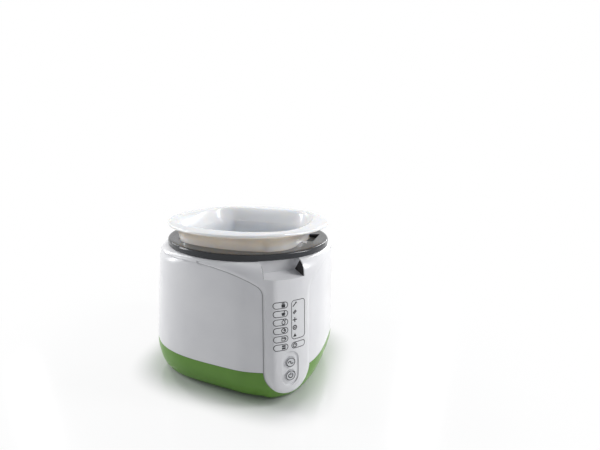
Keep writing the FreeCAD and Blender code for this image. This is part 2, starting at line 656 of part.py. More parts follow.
opening_half = bowl_half(dim("ring_top")) + dim("ring_fit")
opening = free_form("ring_opening", straight(opening_half, dim("bowl_power"), dim("crown_height"),
                                             dim("rim_top")))
slot = block("ring_slot", "Dims.bowl_neck_half + Dims.slot_deep", "Dims.slot_width",
             "Linked.rim_top - Linked.crown_height", "0", "0", "Linked.crown_height")
slot_turn = Rotation(Vector(0, 0, 1), -45)
slot.Placement = Placement(Vector(0, 0, 0), slot_turn)
along = "(Dims.slot_shift - Dims.slot_width / 2) / sqrt(2)"
place(slot, along, along, "Linked.crown_height")
rim_ring = cut("rim_ring", ring_body, fuse("ring_cuts", [opening, slot]))

# Milk bowl: one lofted wall from a rounded foot to a flare, a rolled round rim, hollow inside

low, neck, power = dim("bowl_low"), dim("bowl_neck"), dim("bowl_power")


def bowl_form(thin, lift, top, steep):
    """Bowl drawn in by thin and lifted off the floor; its flare ends steep or level at the height top."""
    foot, flare = [], []
    for turn in (0.0, 35.0, 65.0, 90.0):
        angle = math.radians(turn)
        inset = dim("bowl_round") * (1 - math.sin(angle))
        height = low + lift + dim("bowl_round") * (1 - math.cos(angle))
        foot.append((bowl_half(height) - thin - inset, power, height))
    end, last = dim("rim_radius") - dim("rim_band"), math.radians(90.0 - steep)
    for part in (0.0, 1 / 3, 2 / 3, 1.0):
        inner = (math.cos(part * last) - math.cos(last)) / (1 - math.cos(last))
        half = end + (bowl_half(neck) - thin - end) * inner
        height = neck + (top - neck) * math.sin(part * last) / math.sin(last)
        flare.append((half, 2.0 + (power - 2.0) * inner, height))
    return lofted(foot).fuse([lofted([foot[-1], flare[0]]), lofted(flare)])


under_rim = dim("rim_top") - dim("rim_thick")
rim = upright(dim("rim_radius"), under_rim, dim("rim_top"))
rim = rim.makeFillet(dim("rim_roll"), [edge for edge in rim.Edges if edge.BoundBox.ZLength < 1e-6])
hollow = bowl_form(dim("bowl_wall"), dim("bowl_floor"), dim("rim_top"), dim("funnel_angle"))
bowl = bowl_form(0.0, 0.0, under_rim, 0.0).fuse(rim).cut(hollow)
milk_bowl = free_form("milk_bowl", bowl)

# Heated well: pressed tub hung by its flange, with gasket above and felt round it

well_floor, flange_top = dim("well_floor"), dim("flange_low") + dim("flange_thick")


def tub_form(grow, floor, top):
    inner = dim("well_fit") + grow
    return lofted([(bowl_half(floor) + inner, power, floor), (bowl_half(top) + inner, power, top)])


tub = tub_form(dim("well_wall"), well_floor - dim("well_wall"), flange_top)
tub = tub.fuse(upright(dim("flange_radius"), dim("flange_low"), flange_top))
inner_well = free_form("inner_well", tub.cut(tub_form(0.0, well_floor, flange_top + weld)))
gasket_top = dim("gasket_low") + dim("gasket_thick")
seal_hole = straight(bowl_half(dim("ring_top")) + dim("well_fit") + dim("gasket_fit"), power,
                     dim("flange_low"), dim("ring_top"))
seal = upright(dim("flange_radius"), dim("gasket_low"), gasket_top)
well_gasket = free_form("well_gasket", seal.cut(seal_hole))
felt_in = dim("well_wall") + dim("felt_fit")
felt = tub_form(felt_in + dim("felt_thick"), dim("felt_low"), dim("felt_top"))
well_felt = free_form("well_felt", felt.cut(tub_form(felt_in, dim("felt_low"), dim("felt_top"))))

# Heater: plate, tube element, sensor, strap and fuse under the well

heater_plate = revolved("heater_plate", [
    ("Linked.plate_bore", "Linked.heater_low"),
    ("Linked.plate_radius - Dims.plate_edge", "Linked.heater_low"),
    ("Linked.plate_radius", "Linked.heater_low + Dims.plate_edge"),
    ("Linked.plate_radius", "Linked.heater_top"), ("Linked.plate_bore", "Linked.heater_top")])
tube = doc.addObject("Part::Torus", "element_tube_ring")
bind(tube, "Radius1", "Dims.element_radius")
bind(tube, "Radius2", "Dims.element_tube")
bind(tube, "Angle3", "Dims.element_span")
tube.Placement = Placement(Vector(0, 0, 0), Rotation(Vector(0, 0, 1), dim("element_start")))
element_z = "Linked.heater_low - Dims.stack_gap - Dims.element_tube"
place(tube, "0", "0", element_z)
pins = []
for name, turn in (("a", "Dims.pin_turn"), ("b", "Dims.element_span - Dims.pin_turn")):
    angle = "((Dims.element_start + %s) * 1 deg)" % turn
    pins.append(cylinder("element_pin_" + name, "Dims.pin_radius", "Dims.pin_length + Dims.element_tube",
                         "Dims.element_radius * cos" + angle, "Dims.element_radius * sin" + angle,
                         element_z + " - Dims.pin_length - Dims.element_tube"))
heating_element = fuse("heating_element", [tube] + pins)
sensor_neck = "Dims.sensor_radius - Dims.sensor_step"
sensor_low = "Linked.strap_high + Dims.stack_gap"
temperature_sensor = revolved("temperature_sensor", [
    ("0", sensor_low), (sensor_neck, sensor_low), (sensor_neck, "Linked.heater_low"),
    ("Dims.sensor_radius", "Linked.heater_low + Dims.sensor_step / 2"),
    ("Dims.sensor_radius", "Linked.heater_top"), ("0", "Linked.heater_top")])
strap_y, strap_z = "-Dims.strap_width / 2", "Linked.strap_high - Dims.strap_thick"
strap = [block("strap_bar", "Dims.strap_length", "Dims.strap_width", "Dims.strap_thick",
               "-Dims.strap_length / 2", strap_y, strap_z)]
for name, x in (("a", "-Dims.strap_length / 2"), ("b", "Dims.strap_length / 2 - Dims.strap_thick")):
    strap.append(block("strap_leg_" + name, "Dims.strap_thick", "Dims.strap_width",
                       "Dims.strap_drop + Dims.strap_thick - Dims.stack_gap", x, strap_y, strap_z))
sensor_strap = fuse("sensor_strap", strap)
thermal_fuse = cylinder("thermal_fuse", "Dims.fuse_radius", "Dims.fuse_length", "-Dims.fuse_length / 2",
                        "Dims.fuse_place", "Linked.heater_low - Dims.stack_gap - Dims.fuse_radius",
                        Rotation(Vector(0, 1, 0), 90))

# Carrier ring on the base posts, with pillars under the heater plate and screws

CORNERS = [(sx, sy) for sx in ("-", "") for sy in ("-", "")]
disc = cylinder("carrier_disc", "Linked.carrier_outer", "Dims.carrier_thick", "0", "0", "Linked.carrier_low")
drill_z, drill_tall = "Linked.carrier_low - Dims.weld", "Dims.carrier_thick + 2 * Dims.weld"
carrier_cuts = [cylinder("carrier_hole", "Linked.carrier_inner", drill_tall, "0", "0", drill_z)]
for i, (sx, sy) in enumerate(CORNERS):
    carrier_cuts.append(cylinder("carrier_drill_%d" % i, "Linked.drill_radius", drill_tall,
                                 sx + "Linked.post_place", sy + "Linked.post_place", drill_z))
well_carrier = cut("well_carrier", disc, fuse("carrier_cuts", carrier_cuts))
orbit = "Linked.pillar_orbit"
heater_pillars = group("heater_pillars", [
    cylinder("pillar_%d" % i, "Dims.pillar_radius", "Dims.pillar_tall", x, y,
             "Linked.carrier_top + Dims.stack_gap")
    for i, (x, y) in enumerate(((orbit, "0"), ("0", orbit), ("-" + orbit, "0"), ("0", "-" + orbit)))])


def screw(name, length, x, y, z):
    """Screw pointing down, with the underside of its head at z."""
    head = cylinder(name + "_head", "Dims.head_radius", "Dims.head_thick", x, y, z)
    shank = cylinder(name + "_shank", "Dims.screw_radius", length + " + Dims.weld", x, y, z + " - " + length)
    return fuse(name, [head, shank])


def panel_screw(name, x, z):
    """Screw pointing to the front, with its head behind the panel board."""
    back = Rotation(Vector(1, 0, 0), -90)
    y = "-Linked.board_back + Dims.touch_gap"
    head = cylinder(name + "_head", "Dims.head_radius", "Dims.head_thick", x, y, z, back)
    long = "Dims.short_screw - Dims.pilot_spare"
    shank = cylinder(name + "_shank", "Dims.screw_radius", long + " + Dims.weld", x, y + " - (" + long + ")",
                     z, back)
    return fuse(name, [head, shank])


carrier_screws = group("carrier_screws", [
    screw("carrier_screw_%d" % i, "Dims.screw_length", sx + "Linked.post_place", sy + "Linked.post_place",
          "Linked.carrier_top + Dims.touch_gap") for i, (sx, sy) in enumerate(CORNERS)])

# Mains board at the back of the base

mains = padded("mains_blank", "Dims.mains_length", "Dims.mains_width", "Dims.board_thick")
place(mains, "-Dims.mains_length / 2", "Linked.mains_place - Dims.mains_width / 2", "Dims.mains_lift")
mains_spots = [(sx + "Linked.mains_x", "Linked.mains_place " + (sy or "+") + " Linked.mains_y")
               for sx, sy in CORNERS]
through_board = "Dims.board_thick + 2 * Dims.weld"
mains_drills = [cylinder("mains_drill_%d" % i, "Linked.drill_radius", through_board, x, y,
                         "Dims.mains_lift - Dims.weld") for i, (x, y) in enumerate(mains_spots)]
mains_board = cut("mains_board", mains, fuse("mains_drills", mains_drills))
mains_screws = group("mains_screws", [
    screw("mains_screw_%d" % i, "Dims.short_screw", x, y, "Linked.mains_top")
    for i, (x, y) in enumerate(mains_spots)])
transformer = block("transformer", "Dims.coil_length", "Dims.coil_width", "Dims.coil_tall",
                    "-Dims.coil_length - Dims.part_gap", "Linked.mains_place - Dims.coil_width / 2",
                    "Linked.mains_top")
relay = block("relay", "Dims.relay_length", "Dims.relay_width", "Dims.relay_tall", "0",
              "Linked.mains_place - Dims.relay_width", "Linked.mains_top")
capacitor = block("capacitor", "Dims.cap_length", "Dims.cap_width", "Dims.cap_tall", "0",
                  "Linked.mains_place + Dims.part_gap", "Linked.mains_top")
terminal_block = block("terminal_block", "Dims.block_length", "Dims.block_width", "Dims.block_tall",
                       "Dims.relay_length + Dims.part_gap", "Linked.mains_place - Dims.block_width / 2",
                       "Linked.mains_top")

# Panel board with switches and lamps

panel = padded("panel_blank", "2 * Dims.board_half", "Linked.board_high - Linked.board_low",
               "Dims.board_thick")
toward_front = Rotation(Vector(1, 0, 0), 90)
panel.Placement = Placement(Vector(0, 0, 0), toward_front)
place(panel, "-Dims.board_half", "-Linked.board_back", "Linked.board_low")
boss_spots = [(sx + "Dims.boss_place", "Linked.boss_" + end) for sx in ("-", "") for end in ("low", "high")]
panel_drills = [cylinder("panel_drill_%d" % i, "Linked.drill_radius", through_board, x,
                         "-Linked.board_back + Dims.weld", z, toward_front)
                for i, (x, z) in enumerate(boss_spots)]
panel_board = cut("panel_board", panel, fuse("panel_drills", panel_drills))
panel_screws = group("panel_screws", [panel_screw("panel_screw_%d" % i, x, z)
                                      for i, (x, z) in enumerate(boss_spots)])
board_face = "-Linked.board_front - Dims.touch_gap"
switches = []
for name in ("select", "power"):
    case = block(name + "_switch_case", "Dims.switch_side", "Dims.switch_case", "Dims.switch_side",
                 "-Dims.switch_side / 2", board_face + " - Dims.switch_case",
                 "Linked.%s_height - Dims.switch_side / 2" % name)
    nib = cylinder(name + "_switch_nib", "Dims.nib_radius", "Dims.switch_deep - Dims.touch_gap", "0",
                   board_face, "Linked.%s_height" % name, toward_front)
    switches.append(fuse(name + "_switch", [case, nib]))
tact_switches = group("tact_switches", switches)
pill_middle, lamp_column = "Dims.pill_left + Dims.pill_width / 2", "Dims.mode_left + Dims.led_inset"
mode_step = "(Linked.pane_high - Linked.mode_low) / %d" % MODES
lamps = [(pill_middle, "Linked.pill_low + %d * Dims.pill_pitch" % i) for i in range(PILLS)]
lamps += [(lamp_column, "Linked.mode_low + %.1f * %s" % (i + 0.5, mode_step)) for i in range(MODES)]
lamps.append((lamp_column, "Linked.pill_low"))
indicator_leds = group("indicator_leds", [
    block("led_%d" % i, "Dims.led_wide", "Dims.led_deep", "Dims.led_tall", x + " - Dims.led_wide / 2",
          board_face + " - Dims.led_deep", z + " - Dims.led_tall / 2") for i, (x, z) in enumerate(lamps)])

# Rubber feet with spigots in the base floor

foot_top, spigot_top = "Dims.floor_height - Dims.touch_gap", "Dims.floor_height + Dims.foot_bite"
orbit = "Linked.foot_orbit"
feet = []
for i, (x, y) in enumerate(((orbit, "0"), ("0", orbit), ("-" + orbit, "0"), ("0", "-" + orbit))):
    foot = revolved("foot_%d" % i, [
        ("0", "0"), ("Dims.foot_radius - Dims.foot_edge", "0"), ("Dims.foot_radius", "Dims.foot_edge"),
        ("Dims.foot_radius - Dims.foot_edge / 2", foot_top), ("Dims.foot_spigot", foot_top),
        ("Dims.foot_spigot", spigot_top), ("0", spigot_top)])
    place(foot, x, y, "0")
    feet.append(foot)
rubber_feet = group("rubber_feet", feet)

# Cord inlet: flanged bushing seated in the back of the base

neck_end = "Dims.inlet_tail + Dims.shell_wall"
lip_end = neck_end + " + Dims.inlet_lip"
cord_inlet = revolved("cord_inlet", [
    ("Dims.inlet_bore", "0"), ("Dims.inlet_radius", "0"), ("Dims.inlet_radius", neck_end),
    ("Dims.inlet_flange", neck_end), ("Dims.inlet_flange - Dims.inlet_edge", lip_end),
    ("Dims.inlet_bore", lip_end)])
cord_inlet.Placement = Placement(Vector(0, 0, 0), Rotation(Vector(1, 0, 0), -90))
place(cord_inlet, "0", "Linked.inlet_seat + Dims.touch_gap - (%s)" % neck_end, "Linked.inlet_height")

doc.recompute()

# Named pieces, checked and written

NODES = {
    "base_pan": base_pan, "side_shell": side_shell, "top_cover": top_cover, "notch_cheeks": notch_cheeks,
    "rim_ring": rim_ring, "milk_bowl": milk_bowl, "inner_well": inner_well, "well_gasket": well_gasket,
    "well_felt": well_felt, "heater_plate": heater_plate, "heating_element": heating_element,
    "temperature_sensor": temperature_sensor, "sensor_strap": sensor_strap, "thermal_fuse": thermal_fuse,
    "well_carrier": well_carrier, "heater_pillars": heater_pillars, "carrier_screws": carrier_screws,
    "mains_board": mains_board, "mains_screws": mains_screws, "transformer": transformer, "relay": relay,
    "capacitor": capacitor, "terminal_block": terminal_block, "panel_board": panel_board,
    "panel_screws": panel_screws, "tact_switches": tact_switches, "indicator_leds": indicator_leds,
    "program_windows": program_windows, "mode_window": mode_window, "timer_window": timer_window,
    "select_button": buttons["select"], "power_button": buttons["power"], "rubber_feet": rubber_feet,
    "cord_inlet": cord_inlet,
}
for label, obj in NODES.items():
    obj.Label = label
for obj in doc.Objects:
    if "Invalid" in obj.State or "Error" in obj.State:
        raise RuntimeError("%s failed: %s" % (obj.Name, obj.State))
for label, obj in NODES.items():
    if obj.Shape.isNull() or not obj.Shape.isValid() or not obj.Shape.Solids:
        raise RuntimeError("%s has no valid solid" % label)
os.makedirs("parts", exist_ok=True)
for label, obj in NODES.items():
    obj.Shape.exportStep("parts/%s.step" % label)
    print("%-20s solids %2d volume %10.1f" % (label, len(obj.Shape.Solids), obj.Shape.Volume))
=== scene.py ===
import bmesh
import bpy
import math
from mathutils import Matrix, Vector
from mathutils.bvhtree import BVHTree


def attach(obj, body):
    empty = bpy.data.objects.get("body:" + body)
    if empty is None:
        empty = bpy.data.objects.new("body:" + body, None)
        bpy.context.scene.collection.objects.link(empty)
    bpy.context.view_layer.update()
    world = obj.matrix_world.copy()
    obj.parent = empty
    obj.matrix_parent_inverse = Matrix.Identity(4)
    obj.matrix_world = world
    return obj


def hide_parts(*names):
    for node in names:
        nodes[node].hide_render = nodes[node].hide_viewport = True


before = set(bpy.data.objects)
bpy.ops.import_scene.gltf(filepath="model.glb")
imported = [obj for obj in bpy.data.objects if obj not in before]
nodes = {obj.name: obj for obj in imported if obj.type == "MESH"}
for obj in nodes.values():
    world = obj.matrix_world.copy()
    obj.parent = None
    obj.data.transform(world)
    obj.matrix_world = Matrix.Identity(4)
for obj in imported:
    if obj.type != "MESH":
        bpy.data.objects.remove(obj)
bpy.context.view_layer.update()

scene = bpy.context.scene
MM = 0.001
INWARD = Vector((0, 1, 0))  # from the panel side into the housing


def placed(name, data):
    """New object in the scene that shows data."""
    obj = bpy.data.objects.new(name, data)
    scene.collection.objects.link(obj)
    return obj


# Materials

TINT_STOPS = (0.3, 0.7)
GLOSS_SPAN, STREAK_SPAN = (0.85, 1.2), (0.8, 1.25)  # smoothest and roughest spots, as shares
EDGE_SAMPLES = 6
MIX_FIRST, MIX_SECOND, MIX_RESULT = 6, 7, 2  # colour sockets of a mix node
CLOUDS, GLOSS_SPOTS, SKIN = 28.0, 60.0, 900.0  # noise scales of plastic, per metre
SKIN_DEPTH = 0.0002
SHADE_EDGE_SLANT, SHADE_EDGE_LINE = (0, 1, 0.758), 0.0176  # edge of the painted shade on the notch's end walls: direction across the line, and its place along it
PAINTED_GLOW_FROM, PAINTED_GLOW_FULL = 0.1, -0.4  # how far up a face looks where the painted warm glow starts and is full
STREAK, STREAK_FINER = 140.0, 8  # noise scale of metal along a streak, and how much finer across
FUZZ, FUZZ_RELIEF, FUZZ_DEPTH = (700.0, 6.0, 0.7), (900.0, 5.0), 0.0006  # felt and wrapping


class Shader:
    """A small node builder round one surface."""

    def __init__(self, name):
        self.mat = bpy.data.materials.new(name)
        self.mat.use_nodes = True
        self.tree = self.mat.node_tree
        self.surface = self.tree.nodes["Principled BSDF"]

    def node(self, kind, **values):
        """New node with its sockets and settings; in a key, _ stands for a socket's space."""
        n = self.tree.nodes.new(kind)
        for key, value in values.items():
            socket = key.replace("_", " ")
            if socket in n.inputs:
                n.inputs[socket].default_value = value
            else:
                setattr(n, key, value)
        return n

    def link(self, a, b):
        self.tree.links.new(a, b)

    def set(self, **values):
        """Plain values on the surface's own sockets."""
        for key, value in values.items():
            self.surface.inputs[key.replace("_", " ")].default_value = value

    def place(self):
        """Place on the object, in metres."""
        return self.node("ShaderNodeTexCoord").outputs["Object"]

    def noise(self, scale, detail=2.0, rough=0.5, spot=None):
        n = self.node("ShaderNodeTexNoise", Scale=scale, Detail=detail, Roughness=rough)
        self.link(self.place() if spot is None else spot, n.inputs["Vector"])
        return n.outputs["Fac"]

    def ranged(self, fac, **limits):
        """Map fac from one range of values to another."""
        r = self.node("ShaderNodeMapRange", **limits)
        self.link(fac, r.inputs["Value"])
        return r.outputs["Result"]

    def calc(self, operation, *values):
        """One step of arithmetic; each value is a number or the output of another node."""
        n = self.node("ShaderNodeMath", operation=operation)
        for socket, value in zip(n.inputs, values):
            if isinstance(value, (int, float)):
                socket.default_value = value
            else:
                self.link(value, socket)
        return n.outputs[0]

    def tint(self, fac, low, high):
        """Base colour that drifts between two close tones."""
        ramp = self.node("ShaderNodeValToRGB")
        for stop, tone, position in zip(ramp.color_ramp.elements, (low, high), TINT_STOPS):
            stop.color, stop.position = (*tone, 1), position
        self.link(fac, ramp.inputs["Fac"])
        self.colour = ramp.outputs["Color"]
        self.link(self.colour, self.surface.inputs["Base Color"])

    def second(self, fac, colour):
        """Blend the tinted colour to a second one where fac is 1."""
        mix = self.node("ShaderNodeMix", data_type="RGBA")
        self.link(fac, mix.inputs[0])
        self.link(self.colour, mix.inputs[MIX_FIRST])
        mix.inputs[MIX_SECOND].default_value = (*colour, 1)
        self.link(mix.outputs[MIX_RESULT], self.surface.inputs["Base Color"])

    def span(self, fac, rough, shares):
        """Uneven gloss: roughness between two shares of rough."""
        low, high = (rough * share for share in shares)
        self.link(self.ranged(fac, To_Min=low, To_Max=high), self.surface.inputs["Roughness"])

    def bump(self, fac, strength, distance, edge=0.0):
        """Fine relief; edge softens the look of sharp corners by that radius."""
        b = self.node("ShaderNodeBump", Strength=strength, Distance=distance)
        self.link(fac, b.inputs["Height"])
        if edge:
            soft = self.node("ShaderNodeBevel", samples=EDGE_SAMPLES, Radius=edge)
            self.link(soft.outputs["Normal"], b.inputs["Normal"])
        self.link(b.outputs["Normal"], self.surface.inputs["Normal"])


def moulded_shader(name, low, high, rough, coat=0.0, bump=0.04, edge=0.0, gloss=0.5):
    """Moulded plastic: faint cloudy tone, uneven gloss and a fine skin."""
    s = Shader(name)
    s.tint(s.noise(CLOUDS), low, high)
    s.span(s.noise(GLOSS_SPOTS, 3.0), rough, GLOSS_SPAN)
    s.bump(s.noise(SKIN), bump, SKIN_DEPTH, edge)
    s.set(Coat_Weight=coat, Coat_Roughness=0.08, Specular_IOR_Level=gloss)
    return s


def moulded(*look, **more):
    """The plain moulded material, with nothing added."""
    return moulded_shader(*look, **more).mat


def painted_notch_shade():
    """Painted shade on the notch's end walls: near black below a slanting line, white over it
    toward the bowl.
    """
    s = moulded_shader("notch_painted_shade", (0.030, 0.028, 0.028), (0.045, 0.042, 0.042), 0.55, gloss=0.25)
    along = s.node("ShaderNodeVectorMath", operation="DOT_PRODUCT")
    along.inputs[1].default_value = SHADE_EDGE_SLANT
    s.link(s.place(), along.inputs[0])
    # white above the line; below it, dark paint stands in for shade
    over = s.calc("GREATER_THAN", along.outputs["Value"], SHADE_EDGE_LINE)
    s.second(over, (0.80, 0.80, 0.82))
    return s.mat


def bowl_finish():
    """Milky plastic that lets light through; faces that look down get a painted warm glow, standing
    in for light through the plastic.
    """
    s = moulded_shader("bowl_white", (0.79, 0.795, 0.81), (0.83, 0.835, 0.845), 0.24,
                       coat=0.3, bump=0.02)
    axes = s.node("ShaderNodeSeparateXYZ")
    s.link(s.node("ShaderNodeNewGeometry").outputs["Normal"], axes.inputs[0])
    down = s.ranged(axes.outputs["Z"], interpolation_type="SMOOTHSTEP",
                    From_Min=PAINTED_GLOW_FROM, From_Max=PAINTED_GLOW_FULL)
    # painted light: a warm tone on faces that look down, in place of light passing through the bowl
    s.second(down, (0.88, 0.82, 0.75))
    s.set(Subsurface_Weight=0.6, Subsurface_Radius=(1.0, 0.8, 0.62), Subsurface_Scale=0.012)
    return s.mat


def metal(name, low, high, rough):
    """Bare metal with fine level streaks."""
    s = Shader(name)
    spread = s.node("ShaderNodeMapping", Scale=(STREAK, STREAK, STREAK * STREAK_FINER))
    s.link(s.place(), spread.inputs["Vector"])
    streaks = s.noise(1.0, 4.0, spot=spread.outputs["Vector"])
    s.tint(streaks, low, high)
    s.span(streaks, rough, STREAK_SPAN)
    s.set(Metallic=1.0)
    return s.mat


def woven(name, low, high):
    """Felt and coil wrapping: speckled tone, coarse relief and a fuzzy sheen."""
    s = Shader(name)
    s.tint(s.noise(*FUZZ), low, high)
    s.bump(s.noise(*FUZZ_RELIEF), 0.6, FUZZ_DEPTH)
    s.set(Roughness=0.95, Sheen_Weight=0.3)
    return s.mat


white = moulded("white_body", (0.79, 0.79, 0.81), (0.83, 0.83, 0.845), 0.3, coat=0.25, edge=0.0009)
green = moulded("green_base", (0.130, 0.300, 0.040), (0.150, 0.330, 0.050), 0.36,
                edge=0.0008, gloss=0.3)
dark = moulded("dark_ring", (0.020, 0.022, 0.027), (0.028, 0.031, 0.037), 0.16,
               bump=0.01, gloss=0.35)
# the notch's end walls get painted shade, not a dark part of their own
shade = painted_notch_shade()
bowl_white = bowl_finish()
pane_white = moulded("pane_white", (0.78, 0.785, 0.80), (0.81, 0.815, 0.83), 0.2,
                     coat=0.5, bump=0.01)
key_white = moulded("key_white", (0.70, 0.71, 0.73), (0.75, 0.76, 0.775), 0.35)
aluminium = metal("pressed_aluminium", (0.66, 0.67, 0.69), (0.74, 0.75, 0.77), 0.3)
sheet_steel = metal("sheet_steel", (0.50, 0.51, 0.53), (0.60, 0.61, 0.63), 0.35)
tube_steel = metal("tube_steel", (0.36, 0.34, 0.32), (0.47, 0.45, 0.43), 0.4)
sensor_cap = metal("sensor_cap", (0.60, 0.60, 0.60), (0.70, 0.70, 0.70), 0.28)
screw_steel = metal("screw_steel", (0.62, 0.62, 0.63), (0.72, 0.72, 0.73), 0.22)
silicone = moulded("silicone", (0.012, 0.012, 0.013), (0.020, 0.020, 0.021), 0.6, bump=0.1)
foot_rubber = moulded("foot_rubber", (0.02, 0.02, 0.022), (0.035, 0.035, 0.037), 0.7, bump=0.15)
felt = woven("felt", (0.60, 0.57, 0.50), (0.72, 0.70, 0.64))
circuit = moulded("circuit_board", (0.02, 0.12, 0.05), (0.03, 0.16, 0.07), 0.4, bump=0.1)
coil = woven("coil_wrap", (0.50, 0.36, 0.07), (0.60, 0.45, 0.10))
component = moulded("component_case", (0.02, 0.02, 0.022), (0.035, 0.035, 0.037), 0.5)
terminal = moulded("terminal_case", (0.06, 0.16, 0.30), (0.08, 0.20, 0.36), 0.45)
lens = moulded("lamp_lens", (0.72, 0.66, 0.42), (0.80, 0.74, 0.50), 0.2)
inlet_black = moulded("inlet_black", (0.018, 0.018, 0.019), (0.030, 0.030, 0.032), 0.5, bump=0.1)
# grey of the painted shadow along the cover's seam
seam_shadow_paint = moulded("seam_shadow", (0.40, 0.40, 0.41), (0.46, 0.46, 0.47), 0.8, gloss=0.1)
ink = moulded("panel_ink", (0.020, 0.020, 0.023), (0.032, 0.032, 0.036), 0.7)

FINISH = {
    "base_pan": green, "side_shell": white, "top_cover": white, "notch_cheeks": shade,
    "rim_ring": dark, "milk_bowl": bowl_white, "inner_well": aluminium, "well_gasket": silicone,
    "well_felt": felt, "heater_plate": aluminium, "heating_element": tube_steel,
    "temperature_sensor": sensor_cap, "sensor_strap": sheet_steel, "thermal_fuse": sensor_cap,
    "well_carrier": sheet_steel, "heater_pillars": sheet_steel, "carrier_screws": screw_steel,
    "mains_board": circuit, "mains_screws": screw_steel, "transformer": coil, "relay": component,
    "capacitor": component, "terminal_block": terminal, "panel_board": circuit,
    "panel_screws": screw_steel, "tact_switches": component, "indicator_leds": lens,
    "program_windows": pane_white, "mode_window": pane_white, "timer_window": pane_white,
    "select_button": key_white, "power_button": key_white, "rubber_feet": foot_rubber,
    "cord_inlet": inlet_black,
}
for name, obj in nodes.items():
    obj.data.materials.clear()
    obj.data.materials.append(FINISH[name])


# Work on the meshes of the solids

COPY_GAP, CARVED_GAP = 1e-7, 3e-6  # points closer than this are joined, in metres
SAME_PLACE, SAME_FACING = 2e-6, 0.99995  # limits within which a face counts as untouched
CORNER_BLUR = 1e-7


def faces_of(*meshes):
    """Search tree of the faces of some meshes."""
    verts, polys = [], []
    for mesh in meshes:
        start = len(verts)
        verts += [v.co.copy() for v in mesh.vertices]
        polys += [[start + i for i in p.vertices] for p in mesh.polygons]
    return BVHTree.FromPolygons(verts, polys)


def node_faces(*names):
    return faces_of(*(nodes[name].data for name in names))


def face_at(tree, x, z, start):
    """Place and normal of the first face met at x, z (millimetres) from y = start (metres)."""
    return tree.ray_cast(Vector((x * MM, start, z * MM)), INWARD)[:2]


def merged_copy(mesh, name, gap):
    """Copy of a mesh with the points that lie closer than gap joined."""
    bm = bmesh.new()
    bm.from_mesh(mesh)
    bmesh.ops.remove_doubles(bm, verts=bm.verts, dist=gap)
    bmesh.ops.dissolve_degenerate(bm, dist=gap, edges=bm.edges)
    bmesh.ops.triangulate(bm, faces=[f for f in bm.faces if len(f.verts) > 4])
    data = bpy.data.meshes.new(name)
    bm.to_mesh(data)
    bm.free()
    return data


def corner_mean(source, corners, normals, spot):
    """Mean of the normals at a face's corners, the nearer ones counting for more."""
    total = Vector()
    for corner in corners:
        apart = (source.vertices[source.loops[corner].vertex_index].co - spot).length
        total += normals[corner] * (1 / (apart + CORNER_BLUR))
    return total.normalized()


def keep_normals(mesh, source, fresh):
    """Give the untouched faces their old normals back, so the large faces stay smooth.

    Where fresh is given, it works out the other normals, from a point and the normal it has.
    """
    tree = faces_of(source)
    old = [n.vector.copy() for n in source.corner_normals]
    own = [n.vector.copy() for n in mesh.corner_normals]
    out = []
    for poly in mesh.polygons:
        _, facing, index, gap = tree.find_nearest(poly.center)
        untouched = gap < SAME_PLACE and facing.dot(poly.normal) > SAME_FACING
        for loop in poly.loop_indices:
            spot, normal = mesh.vertices[mesh.loops[loop].vertex_index].co, own[loop]
            if untouched:
                normal = corner_mean(source, source.polygons[index].loop_indices, old, spot)
            elif fresh:
                normal = fresh(spot, normal)
            out.append(normal)
    mesh.normals_split_custom_set(out)


def dress(mesh, source, sharp, material, fresh=None):
    """Smooth faces, edges sharp over an angle in degrees, the source's normals, one material."""
    mesh.polygons.foreach_set("use_smooth", [True] * len(mesh.polygons))
    mesh.set_sharp_from_angle(angle=math.radians(sharp))
    keep_normals(mesh, source, fresh)
    mesh.materials.clear()
    mesh.materials.append(material)


# Rolled edge of the top cover: the solid's sharp edge is cut round along its front outline.
# The outline, in millimetres, has the foot of the tongue, its side, and a small and a large arc.

TONGUE_HALF, TONGUE_MIDDLE = 30.5, 46.0
SMALL_X, SMALL_Z, SMALL_R, LARGE_R, SWEEP_RISE = 45.5, 139.6, 15.0, 129.0, 33.8
SWEEP_TURN = math.asin((LARGE_R - SWEEP_RISE) / (LARGE_R - SMALL_R))
LARGE_X = SMALL_X + (LARGE_R - SMALL_R) * math.cos(SWEEP_TURN)
LARGE_Z = SMALL_Z - (LARGE_R - SMALL_R) * math.sin(SWEEP_TURN)
SWEEP_END = math.radians(84)
FOOT_STEPS, SIDE_STEPS, SMALL_STEPS, LARGE_STEPS = 18, 24, 10, 24
ROLL_WIDE, ROLL_DEEP, ROLL_STEPS, ROLL_TOP = 7.0, 2.3, 10, 175.5
ROLL_TAPER, ROLL_FULL = 0.8, 4.0  # width per height left to the top; least width of full depth
ROLL_FIRST, ROLL_LAST = 0.01, 1.1  # where the cutter starts and ends, in shares of the width
CUT_CLEAR, CUT_OVER, CUT_PAST = 0.12, 2.5, 1.5  # its end over the face, its top, its outer side
CUT_FROM = -0.3  # in front of the housing, in metres
COVER_SHARP = 28


def sweep_stations():
    """Places along the right half of the outline, from the tongue's foot to the end of the S."""
    out = [("foot", math.radians(90 * i / FOOT_STEPS - 90)) for i in range(FOOT_STEPS)]
    out += [("side", i / SIDE_STEPS) for i in range(SIDE_STEPS + 1)]
    out += [("small", SWEEP_TURN * i / SMALL_STEPS) for i in range(1, SMALL_STEPS + 1)]
    rest = SWEEP_END - SWEEP_TURN
    out += [("large", SWEEP_TURN + rest * i / LARGE_STEPS) for i in range(1, LARGE_STEPS + 1)]
    return out


